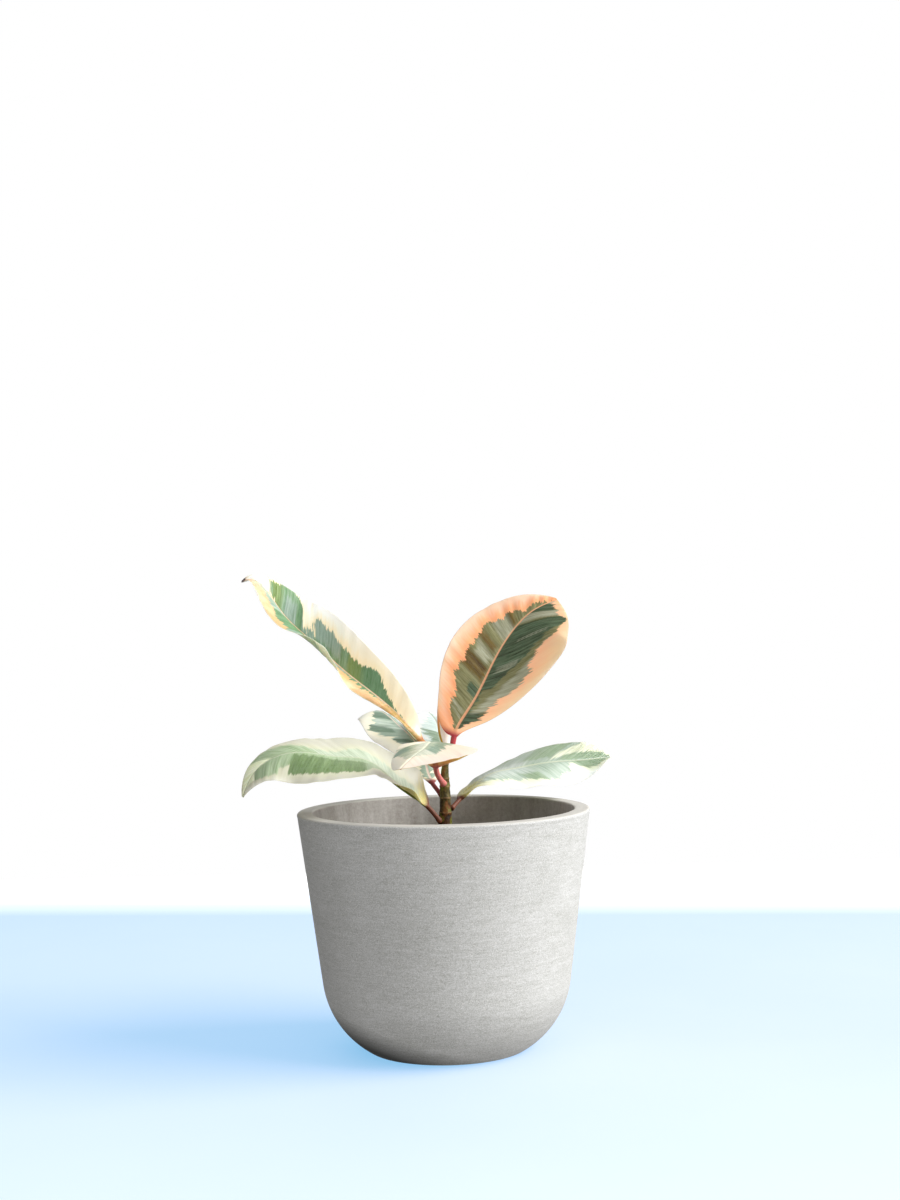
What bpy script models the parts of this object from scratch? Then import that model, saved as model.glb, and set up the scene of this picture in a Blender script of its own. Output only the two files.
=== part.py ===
"""Potted rubber plant: a young variegated rubber plant standing in a round-bottomed pot.

Metres, +Z up. The origin is the centre of the pot's underside, +X is the plant's right and -Y its
front. Each piece is one closed body in its own object, and neighbours keep a gap of 0.3 mm.
"""

import math

import bpy
import numpy as np

MM = 0.001
OBJECT_NAME = "potted_rubber_plant"
GAP = 0.3 * MM
MERGE = 0.01 * MM

# Pot: a turned bowl whose wall leans outwards and runs tangent into a rounded lower edge.
POT_HEIGHT = 120.5 * MM
POT_RIM_RADIUS = 75.0 * MM
POT_WALL = 8.1 * MM
POT_TAPER = math.radians(7.6)
POT_CORNER_RADIUS = 45.9 * MM
POT_CORNER_HEIGHT = 39.6 * MM
POT_RIM_EDGE_RADIUS = 1.0 * MM
POT_TURN_STEPS = 56
POT_CORNER_STEPS = 7
POT_INNER_STEPS = 6

# Soil: fills the pot to well below the rim, with a blind hole where the stem stands.
SOIL_LEVEL = 98.0 * MM
SOIL_CROWN = 2.0 * MM
SOIL_TURN_STEPS = 36
STEM_HOLE_FLOOR = 76.0 * MM

# Stem: (x, y, z, radius) in millimetres, from the buried end to the growing tip.
STEM_POINTS = [
    (0.0, 0.0, 76.5, 3.3),
    (0.0, 0.0, 88.0, 3.3),
    (0.0, 0.0, 97.0, 3.3),
    (0.15, 0.0, 102.0, 3.3),
    (0.5, 0.0, 108.0, 3.2),
    (0.9, 0.0, 113.0, 3.15),
    (1.2, 0.0, 117.0, 2.9),
    (1.3, 0.0, 120.0, 2.75),
    (1.2, 0.0, 124.0, 2.55),
    (1.1, 0.0, 129.0, 2.45),
    (1.0, 0.0, 134.0, 2.3),
    (1.1, 0.0, 139.0, 2.0),
    (1.6, 0.0, 145.0, 1.75),
    (2.0, 0.5, 150.0, 1.5),
]
STEM_SECTIONS = 26

# Bud sheath: the pointed wrapper of the next leaf, standing on the stem's tip.
BUD_POINTS = [
    (2.1, 0.8, 150.7, 1.3),
    (2.0, 1.6, 152.5, 1.7),
    (1.6, 4.2, 157.0, 2.9),
    (1.2, 7.0, 163.0, 3.4),
    (1.2, 9.0, 171.0, 3.3),
    (1.8, 10.5, 179.0, 2.6),
    (3.0, 11.5, 187.0, 1.6),
    (4.5, 12.0, 195.0, 0.4),
]
BUD_SECTIONS = 16

# Leaves: a stalk and a blade grown as one piece. The spine runs from the stem along the midrib to
# the tip, in millimetres. "facing" is the way the upper side looks, given evenly along the blade.
# Each half of the blade has its greatest width, the powers with which it rises from the base and
# falls to the tip, and its fold and curl in degrees, given evenly along the blade.
BLADE_HALF_THICKNESS = 0.45 * MM
TIP_RADIUS = 0.35 * MM
FOLD_SOFTNESS = 1.2 * MM
MIDRIB_SHARE = 0.8
STALK_SECTIONS = 6
BLADE_SECTIONS = 20
SECTION_POINTS = 16
LEAVES = {
    "leaf_lower_left": dict(
        spine=[(-2.2, -2.2, 115), (-9.5, -6, 124), (-24, -12, 136), (-38, -17, 147.5),
               (-53, -22, 150), (-72, -27, 153), (-92, -31, 145), (-99, -33, 132)],
        stalk=10, stalk_radius=1.2, facing=[(0.25, -0.5, 1), (0.3, -0.3, 1), (-0.4, -0.5, 0.9)],
        left=dict(width=22, rise=1.15, fall=0.95, fold=[50, 12, 0, -20, 20], curl=[30, -10, -10]),
        right=dict(width=16, rise=0.25, fall=0.7, fold=[48, 25, 25, 15, 15], curl=[-8, -20, -10]),
    ),
    "leaf_lower_right": dict(
        spine=[(4.6, 1.3, 121), (9, 6, 125), (22, 14, 135), (38, 27, 138), (58, 38, 140),
               (75, 47, 140), (92, 54, 141)],
        stalk=7, stalk_radius=1.1, facing=[(-0.4, -0.15, 0.9), (-0.1, -0.6, 0.9), (0, -0.5, 0.9)],
        left=dict(width=18, rise=0.55, fall=0.4, fold=[-5, -17, -10, 5, 25], curl=[-4, -20, 0]),
        right=dict(width=15, rise=0.75, fall=0.6, fold=[48, -24, 0, -25, 35], curl=[3, -25, 10]),
    ),
    "leaf_front_left": dict(
        spine=[(-1.3, 2.4, 128), (-6, 8, 134), (-9, 18, 143), (-15, 29, 154), (-24, 42, 162),
               (-35, 51, 169), (-42, 57, 166)],
        stalk=8, stalk_radius=1.1, facing=[(0.2, -0.4, 0.8), (0, -0.1, 1), (0, -0.1, 1)],
        left=dict(width=19, rise=1.0, fall=0.5, fold=[0, -5, -5], curl=[-5, -15, -15]),
        right=dict(width=15, rise=0.8, fall=0.6, fold=[8, -26, -12], curl=[0, -20, -15]),
    ),
    "leaf_upper_left": dict(
        spine=[(-1.5, 1, 146), (-4, -1, 149), (-10, -3, 155), (-20, -4, 167), (-34, -2, 180),
               (-50, 0, 193), (-65, 4, 207), (-80, 8, 221), (-90, 11, 235), (-98, 13, 241),
               (-103, 14, 240)],
        stalk=14, stalk_radius=1.6, facing=[(0.6, -0.7, 0.5), (0.2, -0.4, 0.1), (0.4, -0.5, 0.7)],
        left=dict(width=12, rise=1.4, fall=0.5, fold=[40, 30, 50, 30], curl=[0, -90, 70, -60, 0]),
        right=dict(width=18, rise=0.9, fall=0.85, fold=[55, 45, 35, 20], curl=[0, -5, -25]),
    ),
    "leaf_upper_right": dict(
        spine=[(4.5, -1.9, 147), (5.2, -3, 152), (7, -4, 160), (15, -2, 173), (29, 4, 198),
               (38, 9, 211), (50, 13, 222), (62, 16, 227)],
        stalk=11, stalk_radius=1.4, facing=[(0, -1, 0.3), (-0.2, -0.8, 0.1), (-0.5, -0.7, 0.3)],
        left=dict(width=24, rise=0.6, fall=0.6, fold=[5, 10, -15], curl=[0, -10, -25]),
        right=dict(width=33, rise=1.1, fall=0.4, fold=[-10, 15, 20], curl=[-10, -10, -5]),
    ),
    "leaf_front": dict(
        spine=[(0.1, -3.5, 134), (-3, -8, 140), (-3.5, -12, 145), (-4, -18, 152), (-5, -27, 156.5),
               (-8, -40, 155), (-14, -54, 151.5), (-20, -66, 147)],
        stalk=12, stalk_radius=1.4, facing=[(0, 0.7, 0.8), (0.15, 0.2, 1), (0, 0.2, 0.8)],
        left=dict(width=24, rise=0.8, fall=0.8, fold=[-12, 1, -22], curl=[-20, -5, 27]),
        right=dict(width=15, rise=0.75, fall=0.6, fold=[-5, -5, -15], curl=[0, -13, -17]),
    ),
    "leaf_rear": dict(
        spine=[(0.6, 2.4, 145), (0, 10, 149), (-1, 24, 156), (-3, 44, 163), (-7, 62, 167)],
        stalk=9, stalk_radius=1.2, facing=[(0, -0.6, 1), (0.2, -0.3, 1)],
        left=dict(width=15, rise=0.8, fall=0.5, fold=[10, 5, 0], curl=[0, -10, -15]),
        right=dict(width=15, rise=0.8, fall=0.5, fold=[10, 5, 0], curl=[0, -10, -15]),
    ),
}

# Finish of each piece: base colour, roughness.
FINISHES = {
    "pot": ((0.42, 0.40, 0.37), 0.75),
    "soil": ((0.05, 0.035, 0.025), 0.95),
    "stem": ((0.10, 0.065, 0.035), 0.6),
    "bud_sheath": ((0.85, 0.75, 0.52), 0.4),
    "leaf_lower_left": ((0.38, 0.50, 0.30), 0.35),
    "leaf_lower_right": ((0.36, 0.50, 0.32), 0.35),
    "leaf_front_left": ((0.22, 0.38, 0.30), 0.35),
    "leaf_upper_left": ((0.25, 0.42, 0.25), 0.3),
    "leaf_upper_right": ((0.16, 0.20, 0.11), 0.3),
    "leaf_front": ((0.60, 0.58, 0.42), 0.35),
    "leaf_rear": ((0.50, 0.62, 0.52), 0.35),
}


def material(name):
    """A Principled material with the piece's colour and roughness."""
    color, roughness = FINISHES[name]
    mat = bpy.data.materials.new(name)
    mat.use_nodes = True
    shader = mat.node_tree.nodes["Principled BSDF"]
    shader.inputs["Base Color"].default_value = (*color, 1.0)
    shader.inputs["Roughness"].default_value = roughness
    shader.inputs["Metallic"].default_value = 0.0
    return mat


def add_piece(name, data, collection):
    """Links the mesh or curve as the object of one sub-part, with its material."""
    piece = bpy.data.objects.new(name, data)
    data.materials.append(material(name))
    collection.objects.link(piece)
    return piece


def arc(center, radius, start, end, steps):
    """Points of a circular arc in the turning plane, from one angle to the other."""
    angles = np.linspace(start, end, steps + 1)
    return [(center[0] + radius * math.cos(a), center[1] + radius * math.sin(a)) for a in angles]


def wall_radius(height):
    """Outer radius of the pot's straight wall at a height."""
    return POT_RIM_RADIUS - (POT_HEIGHT - height) * math.tan(POT_TAPER)


def corner_center():
    """Centre of the rounded lower edge, placed so that the edge is tangent to the wall."""
    touch_height = POT_CORNER_HEIGHT - POT_CORNER_RADIUS * math.sin(POT_TAPER)
    radius = wall_radius(touch_height) - POT_CORNER_RADIUS * math.cos(POT_TAPER)
    return radius, POT_CORNER_HEIGHT


def inner_profile(steps):
    """The pot's inside from the floor's edge up the wall, one wall thickness inside the outside."""
    center = corner_center()
    radius = POT_CORNER_RADIUS - POT_WALL
    floor_angle = -math.asin((center[1] - POT_WALL) / radius)
    return arc(center, radius, floor_angle, -POT_TAPER, steps)


def turn(name, profile, steps, collection):
    """Turns a profile, whose two ends lie on the Z axis, into a closed solid."""
    mesh = bpy.data.meshes.new(name)
    points = [(radius, 0.0, height) for radius, height in profile]
    mesh.from_pydata(points, [(i, i + 1) for i in range(len(points) - 1)], [])
    piece = add_piece(name, mesh, collection)
    screw = piece.modifiers.new("turned", "SCREW")
    screw.steps = steps
    screw.render_steps = steps
    screw.use_merge_vertices = True
    screw.merge_threshold = MERGE
    screw.use_smooth_shade = True
    return piece


def make_pot(collection):
    """The bowl: floor, inner wall, rim with rounded edges, outer wall, rounded foot, underside."""
    quarter = math.pi / 2
    edge = POT_RIM_EDGE_RADIUS
    outer_edge = (POT_RIM_RADIUS - edge, POT_HEIGHT - edge)
    inner_edge = (POT_RIM_RADIUS - POT_WALL + edge, POT_HEIGHT - edge)
    outside = arc(corner_center(), POT_CORNER_RADIUS, -POT_TAPER,
                  -math.asin(POT_CORNER_HEIGHT / POT_CORNER_RADIUS), POT_CORNER_STEPS)
    profile = [(0.0, POT_WALL)]
    profile += inner_profile(POT_INNER_STEPS)
    profile += arc(inner_edge, edge, 2 * quarter, quarter, 2)
    profile += arc(outer_edge, edge, quarter, -POT_TAPER, 2)
    profile += outside
    profile += [(0.0, 0.0)]
    return turn("pot", profile, POT_TURN_STEPS, collection)


def make_soil(collection):
    """The potting mix: a slightly crowned top, a hole for the stem, and the pot's inside less a gap."""
    hole = STEM_POINTS[0][3] * MM + GAP
    slope = math.tan(POT_TAPER)
    inside = [(radius - GAP, height + GAP) for radius, height in inner_profile(POT_INNER_STEPS)]
    edge_radius = wall_radius(SOIL_LEVEL) - POT_WALL / math.cos(POT_TAPER) - 2 * GAP
    crown = [
        (hole + share * (edge_radius - hole), SOIL_LEVEL - SOIL_CROWN * share ** 2)
        for share in (0.0, 0.35, 0.7)
    ]
    side = [(edge_radius - SOIL_CROWN * slope, SOIL_LEVEL - SOIL_CROWN)]
    profile = [(0.0, STEM_HOLE_FLOOR), (hole, STEM_HOLE_FLOOR)] + crown + side
    profile += inside[::-1] + [(0.0, POT_WALL + GAP)]
    return turn("soil", profile, SOIL_TURN_STEPS, collection)


def smooth_curve(points, at):
    """Natural cubic spline through the points at shares 0 to 1 of their chord length."""
    points = np.asarray(points, float)
    knots = np.r_[0.0, np.cumsum(np.linalg.norm(np.diff(points[:, :3], axis=0), axis=1))]
    knots /= knots[-1]
    span = np.diff(knots)
    system = np.eye(len(knots))
    bends = np.zeros_like(points)
    for i in range(1, len(knots) - 1):
        system[i, i - 1:i + 2] = span[i - 1], 2 * (span[i - 1] + span[i]), span[i]
        rise_after = (points[i + 1] - points[i]) / span[i]
        rise_before = (points[i] - points[i - 1]) / span[i - 1]
        bends[i] = 6 * (rise_after - rise_before)
    bends = np.linalg.solve(system, bends)
    i = np.clip(np.searchsorted(knots, at, side="right") - 1, 0, len(span) - 1)
    width = span[i][:, None]
    before = (knots[i + 1] - at)[:, None]
    after = (at - knots[i])[:, None]
    cubic = (bends[i] * before ** 3 + bends[i + 1] * after ** 3) / (6 * width)
    first = (points[i] / width - bends[i] * width / 6) * before
    last = (points[i + 1] / width - bends[i + 1] * width / 6) * after
    return cubic + first + last


def along(values, share):
    """Values given evenly along a length, joined by a smooth curve."""
    values = np.asarray(values, float)
    places = np.linspace(0.0, 1.0, len(values))
    slopes = np.gradient(values, places, axis=0)
    i = np.clip(np.searchsorted(places, share, side="right") - 1, 0, len(values) - 2)
    step = places[1]
    s = (share - places[i]) / step
    if values.ndim > 1:
        s = s[:, None]
    start = (2 * s ** 3 - 3 * s ** 2 + 1) * values[i] + (s ** 3 - 2 * s ** 2 + s) * step * slopes[i]
    end = (3 * s ** 2 - 2 * s ** 3) * values[i + 1] + (s ** 3 - s ** 2) * step * slopes[i + 1]
    return start + end


def make_tapered_rod(name, points, sections, collection):
    """A round rod that follows (x, y, z, radius) points in millimetres, with closed ends."""
    path = smooth_curve(np.array(points) * MM, np.linspace(0.0, 1.0, sections))
    curve = bpy.data.curves.new(name, "CURVE")
    curve.dimensions = "3D"
    curve.bevel_depth = 1.0
    curve.bevel_resolution = 3
    curve.use_fill_caps = True
    spline = curve.splines.new("POLY")
    spline.points.add(sections - 1)
    for point, place in zip(spline.points, path):
        point.co = (*place[:3], 1.0)
        point.radius = place[3]
    return add_piece(name, curve, collection)


def unit(vectors):
    """The vectors, each made one long."""
    return vectors / np.linalg.norm(vectors, axis=-1, keepdims=True)


def spine_frame(leaf):
    """Places, directions and blade shares of the leaf's sections: closer near the base and tip."""
    dense = np.linspace(0.0, 1.0, 600)
    curve = smooth_curve(np.array(leaf["spine"]) * MM, dense)
    lengths = np.r_[0.0, np.cumsum(np.linalg.norm(np.diff(curve, axis=0), axis=1))]
    stalk = leaf["stalk"] * MM / lengths[-1]
    turn_angles = np.linspace(0.12 * math.pi, math.pi, BLADE_SECTIONS + 1)
    blade = (np.cos(turn_angles[0]) - np.cos(turn_angles)) / (1 + math.cos(turn_angles[0]))
    shares = np.r_[np.linspace(0.0, stalk, STALK_SECTIONS), stalk + (1 - stalk) * blade[1:]]
    at = np.interp(shares * lengths[-1], lengths, dense)
    step = 1e-4
    ahead = smooth_curve(np.array(leaf["spine"]) * MM, np.clip(at + step, 0.0, 1.0))
    behind = smooth_curve(np.array(leaf["spine"]) * MM, np.clip(at - step, 0.0, 1.0))
    places = smooth_curve(np.array(leaf["spine"]) * MM, at)
    return places, unit(ahead - behind), np.clip((shares - stalk) / (1 - stalk), 0.0, 1.0)


def half_width(half, base, blade):
    """Width of one half: the stalk's radius plus a hump that peaks at the greatest width."""
    rise, fall = half["rise"], half["fall"]
    peak = rise / (rise + fall)
    hump = blade ** rise * (1 - blade) ** fall / (peak ** rise * (1 - peak) ** fall)
    return base + half["width"] * MM * hump


def leaf_points(leaf):
    """Section points of a leaf: an ellipse, round at the stalk and flat in the blade, whose two
    halves are then folded up about the midrib and curled along an arc."""
    places, forward, blade = spine_frame(leaf)
    facing = along(leaf["facing"], blade)
    up = unit(facing - (facing * forward).sum(1, keepdims=True) * forward)
    across = np.cross(forward, up)

    radius = leaf["stalk_radius"] * MM
    base = radius * (1 - blade) + TIP_RADIUS * blade
    opening = np.clip(blade / 0.12, 0.0, 1.0)
    opening = opening ** 2 * (3 - 2 * opening)
    height = radius * (1 - opening) + BLADE_HALF_THICKNESS * opening * (1 - 0.4 * blade ** 8)

    angles = np.linspace(0.0, 2 * math.pi, SECTION_POINTS, endpoint=False)
    is_right = np.cos(angles) >= 0
    sine = np.sin(angles)[None]

    def per_half(key):
        left = opening * np.radians(along(leaf["left"][key], blade))
        right = opening * np.radians(along(leaf["right"][key], blade))
        return np.where(is_right, right[:, None], left[:, None])

    width = np.where(is_right, half_width(leaf["right"], base, blade)[:, None],
                     half_width(leaf["left"], base, blade)[:, None])
    out = np.abs(np.cos(angles)) * width
    fold = per_half("fold")
    bend = per_half("curl") / width
    bend = np.where(np.abs(bend) < 0.01, 0.01, bend)
    root = np.sqrt(out ** 2 + FOLD_SOFTNESS ** 2)
    soft = root - FOLD_SOFTNESS
    reach = (np.sin(fold + bend * out) - np.sin(fold)) / bend
    lift = (np.cos(fold) - np.cos(fold + bend * soft)) / bend
    slope = np.arctan2(np.sin(fold + bend * soft) * out / root, np.cos(fold + bend * out))

    rib = MIDRIB_SHARE * radius * (1 - blade) ** 0.6 * opening
    rib = rib[:, None] * np.exp(-(out / (0.9 * radius)) ** 2)
    thick = height[:, None] * sine + rib * np.minimum(sine, 0.0)
    side = np.where(is_right, 1.0, -1.0)
    x = side * (reach - np.sin(slope) * thick)
    y = lift + np.cos(slope) * thick
    return places[:, None] + x[..., None] * across[:, None] + y[..., None] * up[:, None]


def make_leaf(name, leaf, collection):
    """Lofts a closed skin over the leaf's sections, with a cap at the stem and one at the tip."""
    points = leaf_points(leaf)
    rows, count, _ = points.shape
    faces = []
    for row in range(rows - 1):
        for k in range(count):
            after = (k + 1) % count
            low, high = row * count, (row + 1) * count
            faces.append((low + k, high + k, high + after, low + after))
    faces.append(tuple(range(count)))
    faces.append(tuple(range((rows - 1) * count, rows * count))[::-1])
    mesh = bpy.data.meshes.new(name)
    mesh.from_pydata(points.reshape(-1, 3).tolist(), [], faces)
    mesh.shade_smooth()
    return add_piece(name, mesh, collection)


def build():
    for leftover in list(bpy.data.objects):
        bpy.data.objects.remove(leftover, do_unlink=True)
    collection = bpy.data.collections.new(OBJECT_NAME)
    bpy.context.scene.collection.children.link(collection)
    make_pot(collection)
    make_soil(collection)
    make_tapered_rod("stem", STEM_POINTS, STEM_SECTIONS, collection)
    make_tapered_rod("bud_sheath", BUD_POINTS, BUD_SECTIONS, collection)
    for name, leaf in LEAVES.items():
        make_leaf(name, leaf, collection)


build()
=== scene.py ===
import math

import bpy
import numpy as np
from mathutils import Matrix, Vector


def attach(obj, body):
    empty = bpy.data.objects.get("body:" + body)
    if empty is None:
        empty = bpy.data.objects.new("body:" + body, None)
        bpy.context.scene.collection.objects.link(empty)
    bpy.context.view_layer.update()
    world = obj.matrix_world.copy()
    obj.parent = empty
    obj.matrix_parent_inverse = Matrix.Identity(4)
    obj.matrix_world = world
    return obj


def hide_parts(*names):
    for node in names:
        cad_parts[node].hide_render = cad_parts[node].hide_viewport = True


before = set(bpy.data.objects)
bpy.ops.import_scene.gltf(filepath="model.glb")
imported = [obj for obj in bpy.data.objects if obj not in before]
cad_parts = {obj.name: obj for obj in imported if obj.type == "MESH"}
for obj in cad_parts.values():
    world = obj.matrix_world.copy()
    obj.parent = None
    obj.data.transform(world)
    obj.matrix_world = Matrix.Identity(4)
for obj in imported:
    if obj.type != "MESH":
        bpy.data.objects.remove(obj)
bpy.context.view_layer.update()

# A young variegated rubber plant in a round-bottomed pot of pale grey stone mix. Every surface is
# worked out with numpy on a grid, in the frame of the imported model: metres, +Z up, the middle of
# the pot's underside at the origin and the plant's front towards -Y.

MM = 0.001


# The camera: a 50 mm lens a little under a metre in front of the plant, at the height of its
# upper leaves, looking almost level and held with a slight lean.

CAMERA_PLACE = (0.0, -0.858, 0.2129)
CAMERA_TURN = math.radians(0.38)
CAMERA_TILT = math.radians(0.99)
CAMERA_LEAN = math.radians(1.23)
CAMERA_LENS = 50.0
CAMERA_SENSOR = 36.0


def linked(name, data):
    """An object in the scene that shows a camera, a light or a mesh."""
    made = bpy.data.objects.new(name, data)
    bpy.context.scene.collection.objects.link(made)
    return made


lens = bpy.data.cameras.new("camera")
lens.lens = CAMERA_LENS
lens.sensor_width = CAMERA_SENSOR
camera = linked("camera", lens)
camera.matrix_world = (Matrix.Translation(CAMERA_PLACE) @ Matrix.Rotation(-CAMERA_TURN, 4, "Z")
                       @ Matrix.Rotation(math.pi / 2 + CAMERA_TILT, 4, "X")
                       @ Matrix.Rotation(-CAMERA_LEAN, 4, "Z"))
bpy.context.scene.camera = camera


# The table: a pale blue board with a plain white wall behind its back edge, lit by one large soft
# lamp from the right and by the white room around it.

TABLE_FRONT = -4.0
TABLE_BACK = 0.62
TABLE_SKEW = 0.012
TABLE_HALF_WIDTH = 3.0
TABLE_GAP = 0.00002
TABLE_PROFILE = [(0.02, 0.0), (0.2, 0.0), (0.998, 0.0), (0.9993, -0.0008), (1.0, -0.003),
                 (1.0, -0.03), (0.02, -0.03)]
LAMP_PLACE = (2.6, -0.56, 1.68)
LAMP_TARGET = (0.0, 0.0, 0.1)
LAMP_SIZE = 2.4
LAMP_POWER = 172.0


class Wire:
    """A value that runs through a material's nodes. Its operators add the Math nodes that work it
    out, and node() adds any other node."""

    def __init__(self, socket):
        self.socket = socket

    def node(self, kind, settings, inputs, output=0):
        """Adds a node of a kind, sets it, gives or wires its inputs, and returns one output."""
        tree = self.socket.id_data
        new = tree.nodes.new("ShaderNode" + kind)
        for name, value in settings.items():
            setattr(new, name, value)
        for place, value in inputs.items():
            if isinstance(value, Wire):
                tree.links.new(value.socket, new.inputs[place])
            else:
                new.inputs[place].default_value = value
        return Wire(new.outputs[output])

    def math(self, operation, *others):
        """A Math node that reads this value first."""
        return self.node("Math", {"operation": operation}, dict(enumerate((self, *others))))

    def __add__(self, other):
        return self.math("ADD", other)

    def __sub__(self, other):
        return self.math("SUBTRACT", other)

    def __mul__(self, other):
        return self.math("MULTIPLY", other)

    def __truediv__(self, other):
        return self.math("DIVIDE", other)

    def __pow__(self, other):
        return self.math("POWER", other)

    def __rsub__(self, other):
        return self.node("Math", {"operation": "SUBTRACT"}, {0: other, 1: self})

    def __abs__(self):
        return self.math("ABSOLUTE")

    __radd__ = __add__
    __rmul__ = __mul__

    def limited(self):
        """The value, kept from 0 to 1."""
        return self.node("Clamp", {}, {"Value": self})

    def edge(self, place, width):
        """0 below a place and 1 above it, with a straight slope of a width between."""
        return ((self - place) / width + 0.5).limited()

    def mix(self, first, second):
        """The first colour where the value is 0 and the second where it is 1."""
        return self.node("Mix", {"data_type": "RGBA"}, {0: self, 6: first, 7: second}, 2)

    def split(self):
        """The three numbers of a vector."""
        return [self.node("SeparateXYZ", {}, {0: self}, k) for k in range(3)]

    def joined(self, second, third):
        """A vector of three numbers."""
        return self.node("CombineXYZ", {}, {0: self, 1: second, 2: third})

    def cloud(self, scale, detail=2.0, roughness=0.5):
        """Soft noise round 0.5 that reads this vector."""
        return self.node("TexNoise", {}, {"Vector": self, "Scale": scale, "Detail": detail,
                                          "Roughness": roughness})

    def bump(self, strength, distance):
        """A normal tilted as if this value, 0 to 1, were a height of up to a distance in metres."""
        return self.node("Bump", {}, {"Strength": strength, "Distance": distance, "Height": self})

    def reading(self, name):
        """The three numbers of one of the mesh's own attributes."""
        return self.node("Attribute", {"attribute_name": name}, {}, "Vector").split()


def tone(red, green, blue):
    """A colour given as it looks on a display, 0 to 1, turned into light, with full cover."""
    seen = np.array([red, green, blue])
    light = np.where(seen <= 0.04045, seen / 12.92, ((seen + 0.055) / 1.055) ** 2.4)
    return (*light.tolist(), 1.0)


def new_material(name, **constants):
    """A Principled material with constant socket values. Gives it, its shader and its Object
    coordinates."""
    material = bpy.data.materials.new(name)
    material.use_nodes = True
    nodes = material.node_tree.nodes
    shader = nodes["Principled BSDF"]
    for socket, value in constants.items():
        shader.inputs[socket.replace("_", " ")].default_value = value
    return material, shader, Wire(nodes.new("ShaderNodeTexCoord").outputs["Object"])


def wire_in(shader, **values):
    """Joins values to the shader's sockets, whose names are given with low lines for spaces."""
    for socket, value in values.items():
        shader.id_data.links.new(value.socket, shader.inputs[socket.replace("_", " ")])


def skin(name, rings, material, **readings):
    """A closed skin over rings of points, an array of rows by points round by 3.

    Each pair of neighbouring rings is joined by four-sided faces, and a fan from the ring's middle
    closes the first and the last. Every reading, of three numbers a point, becomes an attribute
    of the mesh under its own name.
    """
    rows, count = rings.shape[:2]
    low = np.arange((rows - 1) * count).reshape(rows - 1, count)
    turned = np.roll(low, -1, 1)
    quads = np.stack([low, low + count, turned + count, turned], -1).reshape(-1, 4)
    ring = np.arange(count)
    after = np.roll(ring, -1)
    last = (rows - 1) * count
    first_fan = np.stack([np.full(count, rows * count), ring, after], -1)
    last_fan = np.stack([np.full(count, rows * count + 1), last + after, last + ring], -1)
    mesh = bpy.data.meshes.new(name)
    mesh.from_pydata(closed(rings).tolist(), [],
                     quads.tolist() + first_fan.tolist() + last_fan.tolist())
    for key, values in readings.items():
        made = mesh.attributes.new(key, "FLOAT_VECTOR", "POINT")
        made.data.foreach_set("vector", closed(values).astype(np.float32).ravel())
    mesh.shade_smooth()
    mesh.materials.append(material)
    return linked(name, mesh)


def closed(rings):
    """The points of all rings in one list, followed by the middles of the first and last ring."""
    ends = rings[[0, -1]].mean(1)
    return np.concatenate([rings.reshape(-1, rings.shape[-1]), ends])


def table_material():
    """A pale blue board with a faint mottle that pales to white towards the wall, and painted light that
    pales it a little towards the front. A weak glow of its own keeps its shadows clear and blue."""
    material, shader, place = new_material("table", Roughness=0.7, Specular_IOR_Level=0.2,
                                           Emission_Strength=1.0)
    mottle = place.cloud(9.0, 3.0)
    x, y, _ = place.split()
    far = (y + x * 0.12).edge(0.475, 0.18)
    # Painted light: the board pales a little towards the front, as if lit more there.
    far = (0.1 - y).edge(0.35, 0.5) * 0.17 + far
    wire_in(shader, Base_Color=far.mix(mottle.mix((0.37, 0.265, 0.24, 1.0), (0.39, 0.28, 0.25, 1.0)),
                                       (0.9, 0.9, 0.9, 1.0)),
            Emission_Color=far.mix(mottle.mix((0.22, 0.515, 0.80, 1.0), (0.235, 0.53, 0.81, 1.0)),
                                   (0.9, 0.9, 0.9, 1.0)))
    return material


# The board is its outline drawn in towards its middle and down, by the shares and heights of its
# profile. The corners are joined by straight edges of thirty points.
skew = TABLE_HALF_WIDTH * TABLE_SKEW
corners = np.array([(-TABLE_HALF_WIDTH, TABLE_FRONT), (TABLE_HALF_WIDTH, TABLE_FRONT),
                    (TABLE_HALF_WIDTH, TABLE_BACK + skew), (-TABLE_HALF_WIDTH, TABLE_BACK - skew)])
share = np.linspace(0.0, 1.0, 30, endpoint=False)[None, :, None]
edge = corners[:, None] * (1 - share) + np.roll(corners, -1, 0)[:, None] * share
board = np.stack([np.insert(edge.reshape(-1, 2) * inward, 2, height - TABLE_GAP, axis=1)
                  for inward, height in TABLE_PROFILE])
table = skin("table", board, table_material())
table.visible_diffuse = False
table.visible_glossy = False

soft_light = bpy.data.lights.new("key", "AREA")
soft_light.shape = "SQUARE"
soft_light.size = LAMP_SIZE
soft_light.energy = LAMP_POWER
soft_light.color = (1.0, 1.0, 0.995)
lamp = linked("key", soft_light)
lamp.location = LAMP_PLACE
lamp.rotation_euler = (Vector(LAMP_TARGET) - lamp.location).to_track_quat("-Z", "Y").to_euler()

# The room looks white, and lights the plant most from behind, a little from the right, and least
# from below.
room = bpy.data.worlds.new("white_room")
room.use_nodes = True
nodes = room.node_tree.nodes
seen = Wire(nodes.new("ShaderNodeLightPath").outputs["Is Camera Ray"])
x, y, z = Wire(nodes.new("ShaderNodeTexCoord").outputs["Generated"]).split()
below = z.math("MINIMUM", 0.0)
glow = (x * 0.2 + below * 0.3 - y * 0.62 + y.edge(0.6, 0.3) * 0.95 + 0.44).math("MAXIMUM", 0.0)
room.node_tree.links.new(seen.mix(glow.joined(glow, glow), (1.0, 1.0, 1.0, 1.0)).socket,
                         nodes["Background"].inputs["Color"])
bpy.context.scene.world = room
bpy.context.scene.view_settings.view_transform = "Standard"


# The pot: a thick bowl turned from a grey mix of mineral powder and resin, its outside brushed in
# fine level lines, its rim sanded flat, and its inside left rough.

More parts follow.
